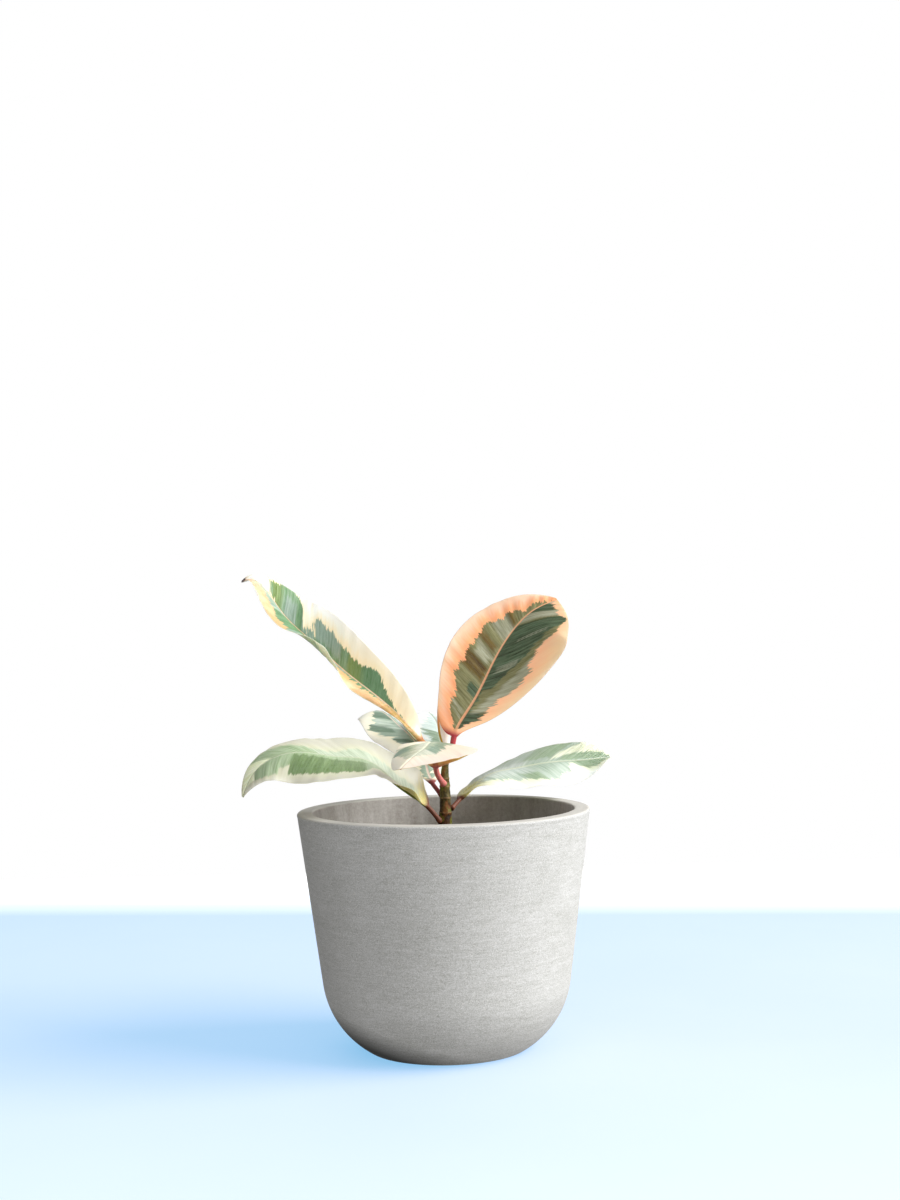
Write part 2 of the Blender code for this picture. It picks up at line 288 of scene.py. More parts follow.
POT_HEIGHT = 120.5
POT_RIM = 75.0
POT_WALL = 8.1
POT_TAPER = math.radians(7.6)
POT_ROUND = 45.9
POT_ROUND_HEIGHT = 39.6
RIM_EDGE = 1.1
POT_STEPS = 288

wall_foot = POT_ROUND_HEIGHT - POT_ROUND * math.sin(POT_TAPER)
wall_foot_radius = POT_RIM - (POT_HEIGHT - wall_foot) * math.tan(POT_TAPER)
round_radius = wall_foot_radius - POT_ROUND * math.cos(POT_TAPER)


def arc(radius, height, size, start, end, count):
    """Points of radius and height on an arc round a middle, from one angle to another."""
    at = np.linspace(start, end, count)
    return np.stack([radius + size * np.cos(at), height + size * np.sin(at)], -1)


def line(start, end, count):
    """Evenly spaced points of radius and height from one to the other, without the last."""
    share = np.linspace(0.0, 1.0, count, endpoint=False)[:, None]
    return np.array(start) * (1 - share) + np.array(end) * share


def turned(profile, steps):
    """Rings round the Z axis, one for each point of radius and height of a profile, in metres."""
    around = np.linspace(0.0, 2 * math.pi, steps, endpoint=False)
    radius, height = profile[:, :1] * MM, profile[:, 1:] * MM
    return np.stack([radius * np.cos(around), radius * np.sin(around), height + 0 * around], -1)


def pot_material():
    """Grey mix: level brush lines, pale and dark grains, broad clouding, and painted shade that darkens
    the foot, reaching higher on the left; a paler beige rim; and a rougher, browner inside with upright
    streaks."""
    material, shader, place = new_material("pot", Roughness=0.8)
    x, y, z = (value * 1000.0 for value in place.split())
    radius = (x * x + y * y) ** 0.5
    wall = POT_RIM - (POT_HEIGHT - z) * math.tan(POT_TAPER)
    inside = (wall - radius).edge(POT_WALL * 0.5, 1.0) * z.edge(40.0, 4.0)
    rim = z.edge(POT_HEIGHT - 0.45, 0.5)

    brushed = x.joined(y, z * 9.0).cloud(0.16, 3.0, 0.65)
    lines = x.joined(y, z * 9.0).cloud(0.045, 3.0, 0.6)
    bands = x.joined(y, z * 4.0).cloud(0.018, 2.0)
    grain = x.joined(y, z * 1.3).cloud(1.9, 3.0, 0.75)
    flecks = x.joined(y, z * 1.8).cloud(0.75, 1.0).edge(0.69, 0.05)
    clouding = x.joined(y, z).cloud(0.035, 3.0)
    lightness = (brushed - 0.5) * 0.65 + (lines - 0.5) * 0.35 + (bands - 0.5) * 0.15
    lightness = lightness + (grain - 0.5) * 2.7 + (clouding - 0.5) * 0.2 + 0.5
    outer = lightness.limited().mix(tone(0.56, 0.56, 0.535), tone(0.81, 0.81, 0.81))
    outer = (flecks * 0.5).mix(outer, tone(0.80, 0.79, 0.77))
    # Painted shade: the foot is darkened near the table, reaching higher on the shaded left side.
    outer = (x * 0.3 + z).edge(1.0, 14.0).mix(tone(0.17, 0.175, 0.17), outer)

    streaks = x.joined(y, z * 0.12).cloud(0.16, 4.0, 0.7)
    pits = x.joined(y, z).cloud(0.6, 3.0, 0.7)
    rough = ((streaks - 0.5) * 1.1 + (pits - 0.5) * 0.9 + 0.5).limited()
    inner = rough.mix(tone(0.53, 0.505, 0.475), tone(0.755, 0.74, 0.725))
    sanded = ((grain - 0.5) * 1.2 + 0.5).limited()
    sanded = sanded.mix(tone(0.68, 0.67, 0.645), tone(0.775, 0.765, 0.74))
    color = inside.mix(rim.mix(outer, sanded), rim.mix(inner, sanded))

    height = brushed * 0.35 + grain * 0.25 + pits * inside * 1.2
    wire_in(shader, Base_Color=color, Normal=height.bump(0.5, 0.00018),
            Roughness=(grain - 0.5) * 0.3 + 0.78)
    return material


inner_round = POT_ROUND - POT_WALL
inner_rim = POT_RIM - POT_WALL
inner_foot = arc(round_radius, POT_ROUND_HEIGHT, inner_round,
                 -math.asin((POT_ROUND_HEIGHT - POT_WALL) / inner_round), -POT_TAPER, 24)
outer_round = arc(round_radius, POT_ROUND_HEIGHT, POT_ROUND, -POT_TAPER,
                  -math.asin(POT_ROUND_HEIGHT / POT_ROUND), 40)
pot_profile = np.concatenate([
    line((0.5, POT_WALL), inner_foot[0], 8),
    inner_foot,
    line(inner_foot[-1], (inner_rim, POT_HEIGHT - RIM_EDGE), 40)[1:],
    arc(inner_rim + RIM_EDGE, POT_HEIGHT - RIM_EDGE, RIM_EDGE, math.pi, math.pi / 2, 7),
    line((inner_rim + RIM_EDGE, POT_HEIGHT), (POT_RIM - RIM_EDGE, POT_HEIGHT), 6)[1:],
    arc(POT_RIM - RIM_EDGE, POT_HEIGHT - RIM_EDGE, RIM_EDGE, math.pi / 2, -POT_TAPER, 8),
    line((POT_RIM - 0.2, POT_HEIGHT - 2.0), outer_round[0], 30),
    outer_round,
    line((outer_round[-1][0], 0.0), (0.5, 0.0), 6)[1:],
    [[0.5, 0.0]],
])
pot = skin("stone_pot", turned(pot_profile, POT_STEPS), pot_material())
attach(pot, "root")
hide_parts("pot")


# The soil: dark potting mix, a little higher round the stem, with a crumbly top of bark chips and
# a few white grains of perlite.

SOIL_LEVEL = 98.0
SOIL_CROWN = 2.0
SOIL_EDGE = 63.0
SOIL_FLOOR = 8.5
SOIL_RINGS = 84
SOIL_STEPS = 224


def rolling(points, size, seed):
    """Smooth bumps from -1 to 1 or so, about a size across: the mean of nine sine waves that cross
    the points in seeded random directions."""
    random = np.random.default_rng(seed)
    ways = random.normal(size=(9, 3))
    ways *= 2 * math.pi / size / np.linalg.norm(ways, axis=1, keepdims=True)
    phases = random.uniform(0.0, 2 * math.pi, 9)
    return np.sin(points @ ways.T + phases).sum(-1) / 3.0


def soil_top(x, y):
    """Height of the soil's surface in millimetres: a low crown with lumps and crumbs on it."""
    flat = np.stack([x, y, 0 * x], -1)
    crown = SOIL_LEVEL - SOIL_CROWN * (x * x + y * y) / SOIL_EDGE ** 2
    lumps = 0.55 * rolling(flat, 16.0, 3) + 0.4 * rolling(flat, 6.0, 4)
    return crown - 0.6 + (lumps + 0.22 * rolling(flat, 2.5, 5))


def soil_material():
    """Near-black mix with brown fibres."""
    material, shader, place = new_material("soil", Roughness=0.95)
    crumbs = place.cloud(700.0, 4.0, 0.7)
    fibres = place.cloud(1800.0, 2.0)
    color = (crumbs * 1.6 - 0.3).limited().mix(tone(0.10, 0.08, 0.065), tone(0.30, 0.22, 0.16))
    wire_in(shader, Base_Color=color, Normal=(crumbs + fibres * 0.4).bump(0.9, 0.0008))
    return material


out = line((0.4, 0.0), (SOIL_EDGE, 0.0), SOIL_RINGS)
top = turned(np.concatenate([out, [[SOIL_EDGE, 0.0]]]), SOIL_STEPS)
top[..., 2] = soil_top(top[..., 0] / MM, top[..., 1] / MM) * MM
under = np.array([[SOIL_EDGE, SOIL_LEVEL - 4.0], [56.0, SOIL_FLOOR + 40.0], [40.0, SOIL_FLOOR]])
soil = skin("potting_mix", np.concatenate([top, turned(under, SOIL_STEPS)]), soil_material())
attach(soil, "root")
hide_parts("soil")


def chips(name, count, size, stretch, seed, material):
    """Small lumps lying on the soil: twenty-faced balls, each stretched and turned at random."""
    random = np.random.default_rng(seed)
    golden = (1 + 5 ** 0.5) / 2
    pairs = np.array([(a, b * golden) for a in (-1, 1) for b in (-1, 1)])
    zero = np.zeros((4, 1))
    ball = np.concatenate([np.hstack([zero, pairs]), np.hstack([pairs, zero]),
                           np.hstack([pairs[:, 1:], zero, pairs[:, :1]])]) / 1.9
    near = np.linalg.norm(ball[:, None] - ball[None], axis=-1) < 1.1
    faces = [(i, j, k) for i in range(12) for j in range(i + 1, 12) for k in range(j + 1, 12)
             if near[i, j] and near[j, k] and near[i, k]]
    faces = [f if np.dot(np.cross(ball[f[1]] - ball[f[0]], ball[f[2]] - ball[f[0]]), ball[f[0]]) > 0
             else f[::-1] for f in faces]
    out = SOIL_EDGE * 0.96 * np.sqrt(random.uniform(0.012, 1.0, count))
    around = random.uniform(0.0, 2 * math.pi, count)
    x, y = out * np.cos(around), out * np.sin(around)
    sizes = size * random.uniform(0.5, 1.0, (count, 1)) * random.uniform(stretch, 1.0, (count, 3))
    turns = np.linalg.qr(random.normal(size=(count, 3, 3)))[0]
    turns *= np.sign(np.linalg.det(turns))[:, None, None]
    lumps = ball * random.uniform(0.8, 1.15, (count, 12, 1)) * sizes[:, None]
    lumps = lumps @ turns + np.stack([x, y, soil_top(x, y) + sizes.mean(1) * 0.25], -1)[:, None]
    mesh = bpy.data.meshes.new(name)
    joined = np.array(faces)[None] + 12 * np.arange(count)[:, None, None]
    mesh.from_pydata((lumps * MM).reshape(-1, 3).tolist(), [], joined.reshape(-1, 3).tolist())
    mesh.materials.append(material)
    piece = linked(name, mesh)
    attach(piece, "root")


def chip_material(name, dark, light):
    """Small lumps whose shade changes from one to the next."""
    material, shader, place = new_material(name, Roughness=0.9)
    shade = place.cloud(220.0, 3.0, 0.7)
    wire_in(shader, Base_Color=(shade * 2.2 - 0.6).limited().mix(dark, light),
            Normal=place.cloud(1500.0).bump(0.6, 0.0004))
    return material


chips("bark_chips", 620, 2.6, 0.35, 11,
      chip_material("bark_chips", tone(0.17, 0.12, 0.085), tone(0.42, 0.30, 0.21)))
chips("perlite", 90, 1.7, 0.7, 12,
      chip_material("perlite", tone(0.80, 0.79, 0.75), tone(0.95, 0.94, 0.91)))


# The stem: a straight young stem, brown and barky at the foot and greener above, ringed with the
# pale scars of fallen leaves and sheaths.

STEM = [(0.0, 0.0, 88.0, 3.5), (0.0, 0.0, 97.0, 3.6), (-0.05, 0.0, 102.0, 3.6),
        (0.25, 0.0, 108.0, 3.5), (0.7, 0.0, 113.0, 3.4), (1.0, 0.0, 117.0, 3.2),
        (1.1, 0.0, 120.0, 3.05), (1.05, 0.0, 124.0, 2.85), (1.0, 0.0, 129.0, 2.65),
        (1.0, 0.0, 134.0, 2.4), (1.1, 0.0, 139.0, 2.0), (1.6, 0.0, 145.0, 1.75),
        (2.0, 0.5, 150.0, 1.5)]
STEM_NODES = [112.5, 118.8, 126.3, 132.2, 136.2, 143.8]
NODE_SWELL = 0.22
NODE_HALF_HEIGHT = 0.7
STEM_ROWS = 180
STEM_STEPS = 40


def smooth_curve(points, at):
    """Natural cubic spline through the points, read at shares 0 to 1 of their chord length: each
    span is a cubic whose second slopes are found from one system of equations."""
    points = np.asarray(points, float)
    knots = np.r_[0.0, np.cumsum(np.linalg.norm(np.diff(points[:, :3], axis=0), axis=1))]
    knots /= knots[-1]
    span = np.diff(knots)
    system = np.eye(len(knots))
    bends = np.zeros_like(points)
    for i in range(1, len(knots) - 1):
        system[i, i - 1:i + 2] = span[i - 1], 2 * (span[i - 1] + span[i]), span[i]
        bends[i] = 6 * ((points[i + 1] - points[i]) / span[i]
                        - (points[i] - points[i - 1]) / span[i - 1])
    bends = np.linalg.solve(system, bends)
    i = np.clip(np.searchsorted(knots, at, side="right") - 1, 0, len(span) - 1)
    width, before, after = span[i][:, None], (knots[i + 1] - at)[:, None], (at - knots[i])[:, None]
    cubic = (bends[i] * before ** 3 + bends[i + 1] * after ** 3) / (6 * width)
    return (cubic + (points[i] / width - bends[i] * width / 6) * before
            + (points[i + 1] / width - bends[i + 1] * width / 6) * after)


def unit(vectors):
    """The vectors, each made one long."""
    return vectors / np.linalg.norm(vectors, axis=-1, keepdims=True)


def round_rod(path, steps):
    """Rings round a path of x, y, z and radius: at each place, circle points square to the path."""
    forward = unit(np.gradient(path[:, :3], axis=0))
    side = unit(np.cross(forward, [0.0, 1.0, 0.0]))
    up = np.cross(side, forward)
    around = np.linspace(0.0, 2 * math.pi, steps, endpoint=False)
    circle = np.cos(around)[:, None] * side[:, None] + np.sin(around)[:, None] * up[:, None]
    return path[:, None, :3] + path[:, None, 3:] * circle


def stem_material():
    """Brown bark with rust and moss specks, cracks and pale leaf scars, olive green higher up."""
    material, shader, place = new_material("stem", Specular_IOR_Level=0.25)
    x, y, z = (value * 1000.0 for value in place.split())
    mottle = x.joined(y, z * 0.5).cloud(0.45, 4.0, 0.65)
    cracks = x.joined(y, z * 0.25).cloud(1.6, 3.0, 0.7)
    patchy = (mottle * 3.2 - 1.1).limited()
    bark = patchy.mix(tone(0.07, 0.035, 0.0), tone(0.26, 0.14, 0.01))
    green = patchy.mix(tone(0.15, 0.13, 0.0), tone(0.41, 0.37, 0.17))
    color = (z + (mottle - 0.5) * 14.0).edge(125.0, 16.0).mix(bark, green)
    rust = x.joined(y, z * 0.7).cloud(0.3, 2.0)
    color = (rust.edge(0.56, 0.1) * 0.55).mix(color, tone(0.48, 0.28, 0.10))
    moss = x.joined(z * 0.7, y).cloud(0.35, 2.0)
    color = (moss.edge(0.58, 0.08) * 0.7).mix(color, tone(0.36, 0.38, 0.08))
    scar = 0.0
    for height in STEM_NODES:
        scar = (1 - abs(z - height + (mottle - 0.5) * 1.2) / 0.45).limited() + scar
    color = (scar * cracks * 1.1).limited().mix(color, tone(0.59, 0.46, 0.32))
    wire_in(shader, Base_Color=color, Normal=(cracks + mottle * 0.6).bump(0.7, 0.0003),
            Roughness=cracks * 0.3 + 0.42)
    return material


path = smooth_curve(STEM, np.linspace(0.0, 1.0, STEM_ROWS))
for node_height in STEM_NODES:
    path[:, 3] += NODE_SWELL * np.exp(-((path[:, 2] - node_height) / NODE_HALF_HEIGHT) ** 2)
bark = round_rod(path * MM, STEM_STEPS)
lumps = 0.09 * rolling(bark / MM, 3.0, 21) + 0.05 * rolling(bark / MM, 1.3, 22)
bark += unit(bark - path[:, None, :3] * MM) * lumps[..., None] * MM
stem = skin("stem_bark", bark, stem_material())
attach(stem, "root")
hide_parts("stem")


# The leaves: leathery oval blades on short stalks, each grown in one piece with its stalk. A ridge
# runs under the midrib, fine veins leave it at a slant, and the green middle frays out along those
# veins into a cream, peach or orange border.

BLADE_HALF_THICKNESS = 0.45
TIP_RADIUS = 0.35
FOLD_SOFTNESS = 1.2
MIDRIB_SHARE = 0.8
GROOVE_DEPTH = 0.28
STALK_ROOT = 0.9
STALK_FLARE = 0.45
OPENING_SHARE = 0.12
END_SLOPE = 0.12
STALK_ROWS = 20
BLADE_ROWS = 130
HALF_RING = 56


def along(values, share):
    """Values given evenly along a length, joined by a smooth curve: on each span, the cubic that
    meets both values with slopes taken from their neighbours."""
    values = np.asarray(values, float)
    places = np.linspace(0.0, 1.0, len(values))
    slopes = np.gradient(values, places, axis=0)
    share = np.clip(share, 0.0, 1.0)
    i = np.clip(np.searchsorted(places, share, side="right") - 1, 0, len(values) - 2)
    step = places[1]
    s = (share - places[i]) / step
    if values.ndim > 1:
        s = s[:, None]
    start = (2 * s ** 3 - 3 * s ** 2 + 1) * values[i] + (s ** 3 - 2 * s ** 2 + s) * step * slopes[i]
    end = (3 * s ** 2 - 2 * s ** 3) * values[i + 1] + (s ** 3 - s ** 2) * step * slopes[i + 1]
    return start + end


def together(*values):
    """Three values a point, spread over the same rows and points and put side by side."""
    return np.stack(np.broadcast_arrays(*values), -1)


def leaf_rings(leaf):
    """Rings of a leaf and what its finish reads.

    The spine is a spline whose rows crowd towards the blade's base and tip. Each ring is an
    ellipse, round in the stalk and flat in the blade. Each half is then folded up about the midrib
    and curled along an arc, and the veins quilt it with shallow waves.
    """
    dense = np.linspace(0.0, 1.0, 600)
    curve = smooth_curve(leaf["spine"], dense)
    lengths = np.r_[0.0, np.cumsum(np.linalg.norm(np.diff(curve, axis=0), axis=1))]
    length = lengths[-1]
    stalk_length, radius = leaf["stalk"]
    stalk = stalk_length / length
    turn = np.linspace(END_SLOPE * math.pi, math.pi, BLADE_ROWS + 1)
    rows = (math.cos(turn[0]) - np.cos(turn)) / (1 + math.cos(turn[0]))
    shares = np.r_[np.linspace(0.0, stalk, STALK_ROWS), stalk + (1 - stalk) * rows[1:]]
    at = np.interp(shares * length, lengths, dense)
    step = 1e-4
    forward = unit(smooth_curve(leaf["spine"], np.clip(at + step, 0, 1))
                   - smooth_curve(leaf["spine"], np.clip(at - step, 0, 1)))
    places = smooth_curve(leaf["spine"], at)
    blade = np.clip((shares - stalk) / (1 - stalk), 0.0, 1.0)
    facing = along(leaf["facing"], blade)
    up = unit(facing - (facing * forward).sum(1, keepdims=True) * forward)
    across = np.cross(forward, up)

    places[0] -= forward[0] * STALK_ROOT
    base = radius * (1 - blade) + TIP_RADIUS * blade
    base = base + STALK_FLARE * np.exp(-shares * length / 1.1)
    opening = np.clip(blade / OPENING_SHARE, 0.0, 1.0)
    opening = opening ** 2 * (3 - 2 * opening)
    height = base * (1 - opening) + BLADE_HALF_THICKNESS * opening * (1 - 0.4 * blade ** 8)

    half = np.linspace(1.0, -1.0, HALF_RING + 1)
    half = np.sign(half) * (0.85 * (3 * half ** 2 - 2 * np.abs(half) ** 3) + 0.15 * np.abs(half))
    crosswise = np.r_[half[:-1], -half[:-1]]
    upper = np.r_[np.ones(HALF_RING), -np.ones(HALF_RING)]
    round_part = np.sqrt(np.clip(1 - crosswise ** 2, 0.0, 1.0)) * upper
    is_right = crosswise >= 0
    side = np.where(is_right, 1.0, -1.0)

    def each_half(key):
        """A half's value at each row, spread over that half's points."""
        return np.where(is_right, along(leaf["right"][key], blade)[:, None],
                        along(leaf["left"][key], blade)[:, None])

    def half_width(most, rise, fall):
        """The stalk's radius plus a hump: a power of the way from the base times one to the tip."""
        peak = rise / (rise + fall)
        hump = blade ** rise * (1 - blade) ** fall / (peak ** rise * (1 - peak) ** fall)
        return (base + most * hump)[:, None]

    width = np.where(is_right, half_width(*leaf["right"]["shape"]),
                     half_width(*leaf["left"]["shape"]))
    out = np.abs(crosswise) * width
    fold = opening[:, None] * np.radians(each_half("fold"))
    bend = opening[:, None] * np.radians(each_half("curl")) / width
    bend = np.where(np.abs(bend) < 1e-5, 1e-5, bend)
    root = np.sqrt(out ** 2 + FOLD_SOFTNESS ** 2)
    soft = root - FOLD_SOFTNESS
    sideways = (np.sin(fold + bend * out) - np.sin(fold)) / bend
    lift = (np.cos(fold) - np.cos(fold + bend * soft)) / bend
    slope = np.arctan2(np.sin(fold + bend * soft) * out / root, np.cos(fold + bend * out))

    grown = blade[:, None] * (1 - stalk) * length
    slant = each_half("slant")
    vein = grown - out * slant
    rib = MIDRIB_SHARE * radius * ((1 - blade) ** 0.6 * opening)[:, None]
    rib_under = rib * np.exp(-(out / (0.9 * radius)) ** 2) * np.minimum(round_part, 0.0)
    groove_width = 0.35 + 0.55 * (1 - blade[:, None])
    groove = GROOVE_DEPTH * opening[:, None] * np.exp(-(out / groove_width) ** 2)
    quilt_length, quilt_height = leaf["quilt"]
    outward = np.abs(crosswise)
    quilt = np.sin(2 * math.pi * vein / quilt_length + 0.8 * np.sin(vein * 0.37))
    quilt *= quilt_height * (6.75 * outward * (1 - outward) ** 2) * opening[:, None]
    wave = np.sin(vein * 0.55 + 1.7 * np.sin(vein * 0.21 + 2 * is_right)) * outward ** 3
    wave *= leaf["wave"] * (opening * (1 - blade ** 4))[:, None]
    thick = height[:, None] * round_part + rib_under - groove + quilt + wave
    x = side * (sideways - np.sin(slope) * thick)
    y = lift + np.cos(slope) * thick
    rings = places[:, None] + x[..., None] * across[:, None] + y[..., None] * up[:, None]

    vein_foot = vein / ((1 - stalk) * length)
    across_share = out / width

    def inside(kind):
        """How far in millimetres each point lies inside the leaf's patches of a kind: the least of
        its distances to the patch's first and last vein, its inner side and its outer side."""
        most = np.full(out.shape, -20.0)
        for half_name, start, end, inner, outer in leaf.get(kind, ()):
            place = ((vein_foot - start) / (end - start)).ravel()
            inner, outer = (along(np.broadcast_to(side_line, max(2, np.size(side_line))),
                                  place).reshape(out.shape) for side_line in (inner, outer))
            depth = np.minimum.reduce([
                (vein_foot - start) * (1 - stalk) * length, (end - vein_foot) * (1 - stalk) * length,
                (across_share - inner) * width, (outer - across_share) * width])
            most = np.maximum(most, np.where(is_right == (half_name == "right"), depth, -20.0))
        return most

    green = np.minimum(each_half("green") * width - out, -inside("bare"))
    under = np.where(np.abs(round_part) < 1e-3, 0.5, np.where(round_part > 0, 0.0, 1.0))
    stalkness = np.clip(1 - grown / 3.5, 0.0, 1.0)
    return rings * MM, {
        "vein": together(vein, out, side),
        "zone": together(green, inside("deep"), width - out),
        "tint": together(inside("pale"), inside("warm"), 0.0),
        "part": together(under, stalkness, blade[:, None]),
    }


def leaf_material(name, look, seed):
    """Leaf skin in layers from the rim inwards: border, its deeper tint beside the green, the green with
    its streaks, its deep, pale and warm patches, and the midrib's line; then the paler underside; then
    the stalk. On some leaves the border is painted paler towards the tip, and some pale and warm patches
    are painted sheen, light or shade."""
    material, shader, place = new_material(name, Subsurface_Weight=0.6, Subsurface_Scale=0.0012,
                                           Subsurface_Radius=(1.0, 0.9, 0.8),
                                           Specular_IOR_Level=look["gloss"])
    vein, out, side = place.reading("vein")
    green, deep, rim = place.reading("zone")
    pale, warm, _ = place.reading("tint")
    under, stalk, blade = place.reading("part")
    lane = side * 7.0 + seed
    teeth = (vein * 0.42).joined(out * 0.04, lane).cloud(1.0, 1.0)
    fray = (vein * 1.3).joined(out * 0.12, lane).cloud(1.0, 2.0, 0.6)
    fine = (vein * 3.6).joined(out * 0.25, lane).cloud(1.0, 2.0, 0.6)
    streak = (vein * 0.7).joined(out * 0.07, lane + 31.0).cloud(1.0, 3.0, 0.6)
    ragged = (teeth - 0.5) * look["teeth"] + (fray - 0.5) * look["fray"] + (fine - 0.5) * 2.0
    green = green + ragged
    is_green = green.edge(0.0, look["soft"])
    is_deep = (deep + ragged * 0.8 + (streak - 0.5) * look["scatter"]).edge(0.0, look["soft"] * 1.3)
    loose = ragged * 0.5 + (streak - 0.5) * 5.0
    is_pale = (pale + loose).edge(0.0, 2.2)
    is_warm = (warm + loose).edge(0.0, 2.2)

    border, beside_green = look["border"]
    # Painted light: on some leaves the border pales towards the tip, where the blade turns away from the
    # lamp.
    if "painted_light_tip" in look:
        border = blade.edge(look["tip_place"], 0.35).mix(border, look["painted_light_tip"])
    away = (green * (-1.0 / look["near_width"]) + (streak - 0.5) * 0.3).limited()
    border = away.mix(beside_green, border)
    if "border_left" in look:
        left = green.edge(-5.0, 6.0).mix(*look["border_left"])
        if "left_tip" in look:
            left = blade.edge(0.86, 0.1).mix(left, look["left_tip"])
        border = (side * 0.5 + 0.5).mix(left, border)
    lighter = ((streak - 0.5) * 2.6 + (fine - 0.5) * 1.1 + 0.45).limited()
    leafy = is_deep.mix(lighter.mix(*look["green"]), lighter.mix(*look["deep"]))
    leafy = (is_pale * 0.85).mix(leafy, lighter.mix(*look["pale"]))
    leafy = (is_warm * 0.95).mix(leafy, lighter.mix(*look["warm"]))
    face = is_green.mix(border, leafy)
    veins = (1 - abs(fine - 0.5) * 7.0).limited() * look["vein_lines"]
    face = (veins * is_green).mix(face, look["vein_color"])
    rib = (look["rib_width"] - blade * look["rib_width"] * 0.6 - out).edge(0.0, 0.3)
    face = (rib * look["rib_cover"]).mix(face, look["rib"])
    face = ((0.35 - rim).edge(0.0, 0.3) * 0.6).mix(face, look["hem"])

    cup = (look["cup_reach"] + (streak - 0.5) * 0.12 - blade).edge(0.0, 0.06)
    cup = cup * (1 - side.edge(0.0, 0.1) * look["cup_left"])
    face = (cup * 0.85).mix(face, lighter.mix(*look["cup"]))

    back = (is_green * 0.85).mix(look["under_border"], lighter.mix(*look["under_green"]))
    keel = (look["keel_width"] * (1 - blade * 0.6) - out).edge(0.0, 0.5)
    back = (keel * 0.9).mix(back, look["keel"])
    color = under.mix(face, back)
    stem_tint = ((streak - 0.5) * 1.6 + 0.5).limited().mix(*look["stalk"])
    color = (stalk * 1.4).limited().mix(color, stem_tint)
    color = (blade - look["dry_start"]).edge(0.0, 0.012).mix(color, tone(0.24, 0.15, 0.15))

    swell = vein * (math.pi / look["vein_gap"])
    height = (abs(swell.math("SINE")) * 0.5 + fine * 0.5 + streak * 0.4) * (is_green * 0.7 + 0.3)
    wire_in(shader, Base_Color=color, Normal=height.bump(look["bump"], 0.00025),
            Roughness=(streak - 0.5) * 0.25 + look["roughness"] + under * 0.15 + stalk * 0.2)
    return material


# Colours are given as they look on a display, some in pairs to mix between. A border's pair is its
# colour at the rim and beside the green.
PLAIN_LOOK = dict(
    border=[(0.93, 0.91, 0.84), (0.92, 0.90, 0.80)], near_width=4.5,
    green=[(0.45, 0.54, 0.41), (0.57, 0.63, 0.54)], deep=[(0.34, 0.45, 0.28), (0.45, 0.54, 0.41)],
    pale=[(0.61, 0.66, 0.63), (0.72, 0.75, 0.72)], warm=[(0.46, 0.50, 0.27), (0.57, 0.61, 0.37)],
    rib=(0.72, 0.74, 0.64), rib_width=0.7, rib_cover=0.8, hem=(0.93, 0.92, 0.84), vein_lines=0.2,
    vein_color=(0.66, 0.71, 0.65), under_border=(0.92, 0.90, 0.66),
    under_green=[(0.70, 0.68, 0.37), (0.77, 0.76, 0.49)], keel=(0.54, 0.55, 0.23),
    stalk=[(0.32, 0.14, 0.07), (0.46, 0.25, 0.14)], cup_reach=-1.0, cup_left=0.0,
    cup=[(0.58, 0.55, 0.30), (0.76, 0.72, 0.46)], keel_width=1.5, dry_start=2.0, tip_place=0.5,
    gloss=0.5, teeth=10.0, fray=6.0, scatter=4.0, soft=0.5, vein_gap=1.9, bump=0.35, roughness=0.38,
)

